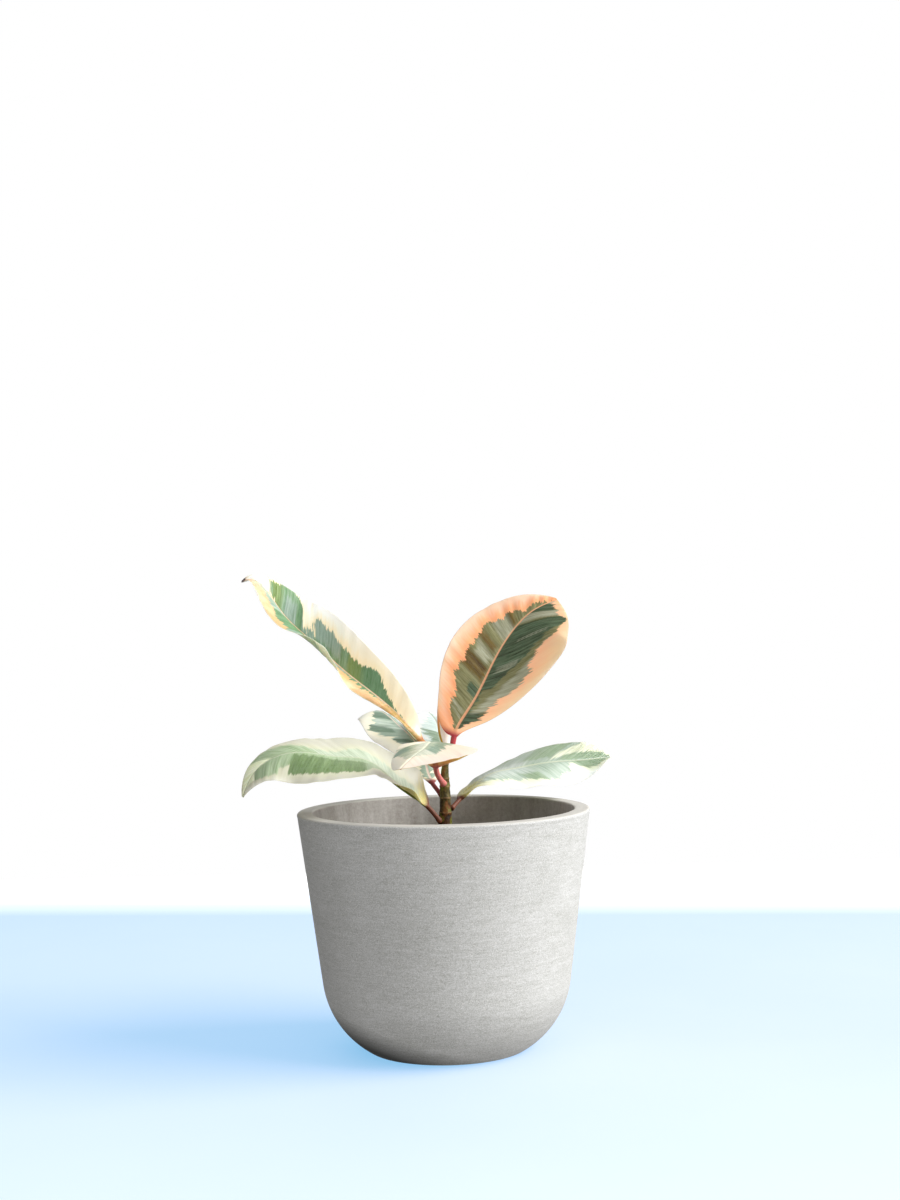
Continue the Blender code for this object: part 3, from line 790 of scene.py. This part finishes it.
# Lengths are in millimetres and angles in degrees. A stalk is a length and a radius, a quilt a
# wave's length and height, and a half's shape its width and the powers of its rise and fall. Facing,
# slant, fold, curl and green, the green's share of the half's width, run from base to tip. A patch
# lies between two vein feet, shares of the blade, and between two shares of the half's width.
LEAVES = {
    "leaf_lower_left": dict(
        spine=[(-2.2, -2.2, 115), (-9.5, -6, 124), (-24, -12, 136), (-38, -17, 147.5), (-53, -22, 150),
               (-72, -27, 153), (-92, -31, 145), (-99, -33, 132)],
        stalk=(10, 1.2), facing=[(0.25, -0.5, 1), (0.3, -0.3, 1), (-0.4, -0.5, 0.9)],
        quilt=(6.0, 0.12), wave=0.25,
        left=dict(shape=(22, 1.15, 0.95), slant=[0.3, 0.3, 1.0], fold=[50, 12, 0, -20, 20],
                  curl=[30, -10, -10], green=[0, 0, 0.05, 0.3, 0.76, 0.76, 0.76, 0.73, 0.68, 0.6, -0.4]),
        right=dict(shape=(16, 0.25, 0.7), slant=[0.5, 1.0, 1.6], fold=[48, 25, 25, 15, 15],
                   curl=[-8, -20, -10],
                   green=[0.3, 0.3, 0.3, 0.3, 0.4, 0.26, 0.27, 0.55, 0.9, 1.1, 0.4]),
        deep=[("left", 0.36, 0.69, [0.3, 0.16, 0.1], 1.0)],
        pale=[("right", -0.2, 0.58, -1, 0.8)],
        # The warm patches at the tip are partly its pale cream and partly painted light, lightening the
        # tip where it turns away from the lamp.
        warm=[("left", 0.88, 1.3, -1, 1.2), ("right", 0.79, 1.3, -1, 1.2)],
        bare=[("left", 0.68, 0.735, 0.45, 1.2)],
        # Its border is painted paler towards the tip: painted light where the tip turns away from the
        # lamp.
        look=dict(border=[(0.755, 0.75, 0.69), (0.78, 0.78, 0.68)], painted_light_tip=(1.0, 0.99, 0.93),
                  tip_place=0.88, green=[(0.55, 0.64, 0.48), (0.68, 0.74, 0.61)],
                  deep=[(0.35, 0.45, 0.24), (0.46, 0.56, 0.36)],
                  warm=[(0.91, 0.94, 0.76), (1.0, 1.0, 0.92)],
                  pale=[(0.66, 0.71, 0.62), (0.80, 0.83, 0.76)], under_border=(0.97, 0.94, 0.68),
                  under_green=[(0.86, 0.78, 0.40), (0.97, 0.91, 0.58)], keel=(0.46, 0.55, 0.12),
                  keel_width=3.2, hem=(0.84, 0.82, 0.66), teeth=4.0, fray=3.0, soft=1.2, cup_reach=0.07,
                  cup=[(0.68, 0.62, 0.30), (0.86, 0.81, 0.50)]),
    ),
    "leaf_lower_right": dict(
        spine=[(4.6, 1.3, 121), (9, 6, 125), (22, 14, 135), (38, 27, 138), (58, 38, 140), (75, 47, 140),
               (92, 54, 141)],
        stalk=(7, 1.1), facing=[(-0.4, -0.15, 0.9), (-0.1, -0.6, 0.9), (0, -0.5, 0.9)],
        quilt=(6.0, 0.1), wave=0.2,
        left=dict(shape=(18, 0.55, 0.4), slant=[0.5, 1.1, 1.8], fold=[-5, -17, -10, 5, 25],
                  curl=[-4, -20, 0], green=[0.4, 0.7, 1.2, 1.2, 1.2, 1.2, 1.2, 1.2, 1.2, 1.0, 0.2]),
        right=dict(shape=(15, 0.75, 0.6), slant=[0.5, 0.78, 1.3], fold=[48, -24, 0, -25, 35],
                   curl=[3, -25, 10],
                   green=[0.2, 0.5, 0.5, 0.55, 0.65, 0.78, 0.78, 0.5, 0.45, 0.6, 0.4]),
        deep=[("left", 0.02, 0.3, [0.3, 0.5, 0.8], 1.2), ("left", 0.42, 0.6, 0.25, 1.2),
              ("left", 0.66, 1.0, 0.05, 1.2), ("right", 0.74, 0.95, -1, 0.7),
              ("right", 0.36, 0.46, 0.4, 0.9)],
        pale=[("right", 0.0, 0.45, -1, 0.35), ("left", 0.1, 0.45, -1, 0.3)],
        warm=[("left", 0.605, 0.76, [0.1, 0.35, 0.5], [0.5, 1.0, 1.5])],
        bare=[("left", 0.66, 0.76, [0.95, 0.5], 1.5), ("left", 0.755, 1.3, [0.46, 0.4, 0.25, 0.1], 1.5),
              ("right", 0.67, 0.77, [0.45, 0.14, 0.4], 1.5)],
        # Its border is painted a little paler towards the tip: painted light.
        look=dict(border=[(0.87, 0.87, 0.80), (0.80, 0.82, 0.71)], painted_light_tip=(0.90, 0.93, 0.89),
                  green=[(0.53, 0.60, 0.53), (0.65, 0.70, 0.65)],
                  deep=[(0.46, 0.55, 0.42), (0.56, 0.63, 0.53)],
                  warm=[(0.74, 0.76, 0.64), (0.86, 0.87, 0.79)],
                  under_green=[(0.72, 0.74, 0.36), (0.86, 0.86, 0.52)], keel=(0.46, 0.55, 0.12),
                  keel_width=3.2, teeth=5.0, fray=4.0, soft=0.8, cup_reach=0.13,
                  cup=[(0.68, 0.66, 0.34), (0.86, 0.83, 0.55)]),
    ),
    "leaf_front_left": dict(
        spine=[(-1.3, 2.4, 128), (-6, 8, 134), (-9, 18, 143), (-15, 29, 154), (-24, 42, 162),
               (-35, 51, 169), (-42, 57, 166)],
        stalk=(8, 1.1), facing=[(0.2, -0.4, 0.8), (0, -0.1, 1), (0, -0.1, 1)],
        quilt=(5.0, 0.12), wave=0.2,
        left=dict(shape=(19, 1.0, 0.5), slant=[0.3, 0.54, 1.0], fold=[0, -5, -5], curl=[-5, -15, -15],
                  green=[0.4, 0.5, 0.5, 0.45, 0.45, 0.55, 0.7, 0.8, 0.5, 0.0, -0.5]),
        right=dict(shape=(15, 0.8, 0.6), slant=[0.3, 0.54, 1.0], fold=[8, -26, -12], curl=[0, -20, -15],
                   green=[0.4, 0.5, 0.6, 0.7, 0.8, 0.8, 0.8, 0.8, 0.6, 0.2, -0.3]),
        deep=[("left", 0.52, 0.6, 0.3, 0.9), ("left", 0.68, 0.8, -1, 0.5),
              ("left", 0.36, 0.42, 0.15, 0.6), ("right", 0.5, 0.75, 0.3, 1.2)],
        pale=[("left", 0.6, 0.68, 0.1, 0.7), ("left", 0.2, 0.36, 0.2, 1.2)],
        look=dict(border=[(1.0, 0.97, 0.88), (0.99, 0.95, 0.84)],
                  green=[(0.54, 0.63, 0.56), (0.69, 0.76, 0.69)],
                  deep=[(0.36, 0.46, 0.38), (0.50, 0.60, 0.52)], soft=0.9,
                  pale=[(0.70, 0.77, 0.72), (0.84, 0.88, 0.83)], rib=(0.90, 0.80, 0.75),
                  stalk=[(0.37, 0.08, 0.10), (0.55, 0.22, 0.21)]),
    ),
    "leaf_upper_left": dict(
        spine=[(-1.5, 1, 146), (-4, -1, 149), (-10, -3, 155), (-20, -4, 167), (-34, -2, 180),
               (-50, 0, 193), (-65, 4, 207), (-80, 8, 221), (-90, 11, 235), (-98, 13, 241),
               (-103, 14, 240)],
        stalk=(14, 1.6), facing=[(0.6, -0.7, 0.5), (0.2, -0.4, 0.1), (0.4, -0.5, 0.7)],
        quilt=(5.5, 0.12), wave=0.3,
        left=dict(shape=(12, 1.4, 0.5), slant=[0.35, 0.68, 1.3], fold=[40, 30, 50, 30],
                  curl=[0, -90, 70, -60, 0], green=[0, 0, 0.2, 0.3, 0.25, 0.5, 1.0, 0.8, 0.55, 0.3, 0]),
        right=dict(shape=(18, 0.9, 0.85), slant=[0.35, 0.68, 1.3], fold=[55, 45, 35, 20],
                   curl=[0, -5, -25], green=[0, 0.02, 0.25, 0.62, 0.47, 0.5, 0.65, 1.1, 1.2, 1.2, 1.2]),
        deep=[("left", 0.25, 0.37, 0.1, 0.35), ("left", 0.56, 0.74, -1, 1.0),
              ("right", 0.18, 0.34, -1, 0.6), ("right", 0.46, 0.54, 0.15, 0.5),
              ("right", 0.54, 0.59, 0.3, 0.9), ("right", 0.64, 0.67, -1, 1.2)],
        # Its pale patches are partly its own grey-green and partly painted: painted sheen on the right
        # half and painted light on the shaded fold of the left half.
        pale=[("right", 0.44, 0.65, 0.15, 0.7), ("right", 0.69, 0.76, -1, 0.6),
              ("right", 0.585, 0.65, -1, 0.4), ("left", 0.16, 0.24, -1, 0.4),
              ("left", 0.4, 0.6, -1, 1.2), ("left", 0.74, 1.2, -1, 1.2)],
        warm=[("right", 0.33, 0.40, -1, 0.5), ("right", 0.785, 0.84, -1, 1.2)],
        bare=[("right", 0.585, 0.645, 0.2, 1.5), ("right", 0.62, 0.70, [0.25, 0.7, 0.95], 1.5),
              ("right", 0.45, 0.62, [0.52, 0.62, 0.6, 0.1], 1.5), ("right", 0.85, 1.9, -1, 1.5),
              ("right", 0.78, 0.88, [1.0, 0.85, 0.5], 1.5), ("right", 0.81, 0.88, -1, [0, 0.1, 0.4])],
        # Its border pales towards the tip, partly its own paler cream and partly painted light where the
        # blade turns away from the lamp.
        look=dict(border=[(1.0, 0.91, 0.80), (1.0, 0.90, 0.76)], painted_light_tip=(1.0, 0.99, 0.94),
                  border_left=[(0.90, 0.715, 0.51), (0.84, 0.69, 0.50)], teeth=5.0, fray=5.0,
                  left_tip=(0.87, 0.71, 0.57), cup_reach=0.2, cup_left=1.0,
                  cup=[(0.50, 0.47, 0.10), (0.78, 0.56, 0.30)], dry_start=0.981,
                  green=[(0.37, 0.53, 0.34), (0.55, 0.66, 0.53)],
                  deep=[(0.28, 0.46, 0.25), (0.42, 0.58, 0.41)],
                  pale=[(0.52, 0.61, 0.55), (0.66, 0.72, 0.68)],
                  warm=[(0.39, 0.50, 0.17), (0.50, 0.59, 0.30)], rib=(0.95, 0.80, 0.68),
                  keel=(0.63, 0.41, 0.16), under_border=(0.93, 0.93, 0.80),
                  under_green=[(0.66, 0.74, 0.61), (0.87, 0.92, 0.82)],
                  stalk=[(0.59, 0.36, 0.13), (0.77, 0.52, 0.27)]),
    ),
    "leaf_upper_right": dict(
        spine=[(4.5, -1.9, 147), (5.2, -3, 152), (7, -4, 160), (15, -2, 173), (29, 4, 198), (38, 9, 211),
               (50, 13, 222), (62, 16, 227)],
        stalk=(11, 1.4), facing=[(0, -1, 0.3), (-0.2, -0.8, 0.1), (-0.5, -0.7, 0.3)],
        quilt=(6.5, 0.22), wave=0.2,
        left=dict(shape=(24, 0.6, 0.6), slant=[0.35, 0.4, 0.6], fold=[5, 10, -15], curl=[0, -10, -25],
                  green=[1.2, 1.2]),
        right=dict(shape=(33, 1.1, 0.4), slant=[0.6, 0.9, 1.7], fold=[-10, 15, 20], curl=[-10, -10, -5],
                   green=[1.2, 1.2]),
        deep=[("left", 0.235, 0.295, 0.03, 0.27), ("right", 0.02, 0.14, -1, 1.2),
              ("right", 0.12, 0.32, -1, 0.1), ("right", 0.28, 0.5, -1, [0.25, 0.45, 0.5]),
              ("right", 0.47, 0.71, -1, [0.5, 0.7, 1.2]), ("right", 0.81, 0.93, -1, 0.3)],
        # Its pale patches are partly its own grey-green and partly painted sheen: the narrow pale
        # streaks are painted highlights.
        pale=[("left", 0.42, 0.47, 0.1, 0.45), ("left", 0.1, 0.13, 0.1, 0.5),
              ("left", 0.6, 0.7, -1, 0.5), ("right", 0.72, 0.81, -1, 1.2), ("right", 0.93, 1.1, -1, 0.6),
              ("right", 0.385, 0.40, 0.15, 0.4), ("right", 0.55, 0.565, 0.2, 0.5),
              ("right", 0.14, 0.46, [0.25, 0.4, 0.58, 0.62], 1.0), ("left", 0.47, 0.49, 0.0, 0.5)],
        # Its warm patches on the left half are painted shade: dark brown streaks where creases in the
        # blade fall into shadow.
        warm=[("left", 0.335, 0.42, 0.05, 1.0), ("left", 0.505, 0.54, 0.1, 0.6),
              ("left", 0.7, 0.73, 0.05, 0.5)],
        bare=[("left", -1, 0.03, -1, 1.5), ("right", -1, 0.04, -1, 1.5), ("left", 0.97, 2, -1, 1.5),
              ("right", 0.97, 2, -1, 1.5),
              ("left", 0, 1, [0, 0.25, 0.6, 0.52, 0.56, 0.66, 0.64, 0.6, 0.6, 0.58, 0.55, 0.58, 0.52,
                              0.4, 0.42, 0.33, 0.13, 0.24, 0.2, 0.05, 0], 1.5),
              ("right", 0, 1, [0, 0.35, 0.66, 0.64, 0.64, 0.72, 0.7, 0.64, 0.6, 0.62, 0.72, 0.72, 0.74,
                               0.92, 0.66, 0.44, 0.46, 0.28, 0.17, 0.05, 0], 1.5)],
        look=dict(border=[(1.0, 0.81, 0.66), (1.0, 0.75, 0.59)], near_width=7.0,
                  border_left=[(0.97, 0.79, 0.68), (0.94, 0.67, 0.49)],
                  green=[(0.40, 0.385, 0.22), (0.57, 0.56, 0.40)],
                  deep=[(0.08, 0.15, 0.03), (0.36, 0.45, 0.34)], scatter=6.0,
                  pale=[(0.56, 0.56, 0.46), (0.72, 0.72, 0.64)],
                  warm=[(0.28, 0.17, 0.0), (0.43, 0.33, 0.04)], teeth=5.0, fray=5.0,
                  rib=(0.90, 0.66, 0.50), hem=(0.95, 0.68, 0.52), under_border=(0.93, 0.62, 0.42),
                  under_green=[(0.40, 0.37, 0.22), (0.54, 0.49, 0.32)], keel=(0.72, 0.36, 0.25),
                  stalk=[(0.63, 0.16, 0.22), (0.77, 0.36, 0.37)], vein_lines=0.22,
                  vein_color=(0.55, 0.56, 0.46), roughness=0.34, gloss=0.25),
    ),
    "leaf_front": dict(
        spine=[(0.1, -3.5, 134), (-3, -8, 140), (-3.5, -12, 145), (-4, -18, 152), (-5, -27, 156.5),
               (-8, -40, 155), (-14, -54, 151.5), (-20, -66, 147)],
        stalk=(12, 1.4), facing=[(0, 0.7, 0.8), (0.15, 0.2, 1), (0, 0.2, 0.8)],
        quilt=(5.0, 0.05), wave=0.2,
        left=dict(shape=(24, 0.8, 0.8), slant=[0.3, 0.54, 1.0], fold=[-12, 1, -22], curl=[-20, -5, 27],
                  green=[0, 0.1, 0.4, 0.44, 0.44, 0.42, 0.42, 0.36, 0, -0.3, -0.3]),
        right=dict(shape=(15, 0.75, 0.6), slant=[0.3, 0.54, 1.0], fold=[-5, -5, -15], curl=[0, -13, -17],
                   green=[0, 0.3, 0.8, 0.9, 0.6, 0.9, 0.95, 0.8, 0.3, -0.3, -0.3]),
        deep=[("left", 0.12, 0.6, 0.08, 0.6), ("right", 0.42, 0.56, 0.5, 1.0)],
        pale=[("right", -0.1, 0.36, -1, 1.0)],
        warm=[("right", 0.36, 0.8, -1, [0.35, 0.3, 0.5]), ("left", 0.6, 0.8, -1, 0.5)],
        bare=[("right", 0.3, 0.42, 0.25, 1.2), ("right", 0.78, 1.0, -1, 1.2)],
        look=dict(border=[(1.0, 0.95, 0.86), (1.0, 0.94, 0.85)],
                  border_left=[(0.92, 0.85, 0.79), (0.91, 0.85, 0.775)],
                  warm=[(0.75, 0.77, 0.67), (0.88, 0.88, 0.81)],
                  green=[(0.62, 0.68, 0.56), (0.76, 0.79, 0.69)],
                  deep=[(0.42, 0.53, 0.44), (0.55, 0.65, 0.57)],
                  pale=[(0.68, 0.72, 0.60), (0.80, 0.82, 0.71)], soft=1.8, fray=3.0,
                  rib=(0.90, 0.86, 0.79), rib_cover=0.2, under_border=(1.0, 0.80, 0.50),
                  under_green=[(0.72, 0.62, 0.28), (0.88, 0.74, 0.42)], keel=(0.80, 0.50, 0.32),
                  stalk=[(0.62, 0.25, 0.28), (0.82, 0.50, 0.46)]),
    ),
    "leaf_rear": dict(
        spine=[(0.6, 2.4, 145), (0, 10, 149), (-1, 24, 156), (-3, 44, 163), (-7, 62, 167)],
        stalk=(9, 1.2), facing=[(0, -0.6, 1), (0.2, -0.3, 1)],
        quilt=(5.0, 0.12), wave=0.2,
        **dict.fromkeys(("left", "right"), dict(
            shape=(15, 0.8, 0.5), slant=[0.3, 0.54, 1.0], fold=[10, 5, 0], curl=[0, -10, -15],
            green=[0.3, 0.6, 0.8, 0.7, 0.5, 0.4, 0.3, 0.1, 0])),
        deep=[("left", 0.05, 0.34, -1, 0.6), ("right", 0.05, 0.36, -1, 0.6)],
        look=dict(border=[(0.96, 0.98, 0.96), (0.94, 0.97, 0.94)],
                  green=[(0.82, 0.90, 0.88), (0.90, 0.95, 0.94)],
                  deep=[(0.50, 0.60, 0.49), (0.66, 0.74, 0.66)]),
    ),
}


def lit(value):
    """A look's value with its colours turned into light: a colour, a pair of them or a number."""
    if isinstance(value, list):
        return [lit(each) for each in value]
    return tone(*value) if isinstance(value, tuple) else value


for seed, (name, leaf) in enumerate(LEAVES.items()):
    rings, readings = leaf_rings(leaf)
    look = {key: lit(value) for key, value in (PLAIN_LOOK | leaf["look"]).items()}
    material = leaf_material(name, look, seed * 3.7)
    blade = skin(name + "_blade", rings, material, **readings)
    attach(blade, "root")
    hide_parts(name)


# The bud sheath: the cream pointed wrapper of the next leaf, rolled to a spike on the stem's tip
# with its overlapping edge drawn in orange.

BUD = [(2.1, 0.8, 150.3, 1.4), (2.0, 1.6, 152.5, 1.7), (1.6, 4.2, 157.0, 2.9),
       (1.2, 7.0, 163.0, 3.4), (1.2, 9.0, 171.0, 3.3), (1.8, 10.5, 179.0, 2.6),
       (3.0, 11.5, 187.0, 1.6), (4.5, 12.0, 195.0, 0.35)]
BUD_ROWS = 120
BUD_STEPS = 48
SEAM_PLACE = 0.91


def bud_material():
    """Waxy cream skin, faintly ribbed lengthwise, with an orange seam, olive at its foot."""
    material, shader, place = new_material("bud_sheath", Roughness=0.42)
    round_it, up_it, _ = place.reading("wrap")
    ribs = (round_it * 60.0).joined(up_it * 3.0, 0.0).cloud(1.0, 2.0)
    skin_color = ribs.mix(tone(0.98, 0.97, 0.92), tone(1.0, 0.99, 0.96))
    seam_color = up_it.edge(0.26, 0.2).mix(tone(0.76, 0.62, 0.14), tone(0.96, 0.62, 0.40))
    seam = (0.05 - abs(round_it - SEAM_PLACE)).edge(0.0, 0.012)
    wire_in(shader, Base_Color=seam.mix(skin_color, seam_color), Normal=ribs.bump(0.4, 0.0003))
    return material


path = smooth_curve(BUD, np.linspace(0.0, 1.0, BUD_ROWS))
sheath = round_rod(path * MM, BUD_STEPS)
round_share = np.linspace(0.0, 1.0, BUD_STEPS, endpoint=False)
up_share = np.linspace(0.0, 1.0, BUD_ROWS)[:, None]
swell = 0.25 * np.exp(-((round_share - SEAM_PLACE) / 0.04) ** 2)
swell = swell * np.minimum(path[:, 3:] / 3.0, 1.0)
sheath += unit(sheath - path[:, None, :3] * MM) * swell[..., None] * MM
bud = skin("bud_wrapper", sheath, bud_material(), wrap=together(round_share, up_share, 0.0))
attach(bud, "root")
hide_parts("bud_sheath")
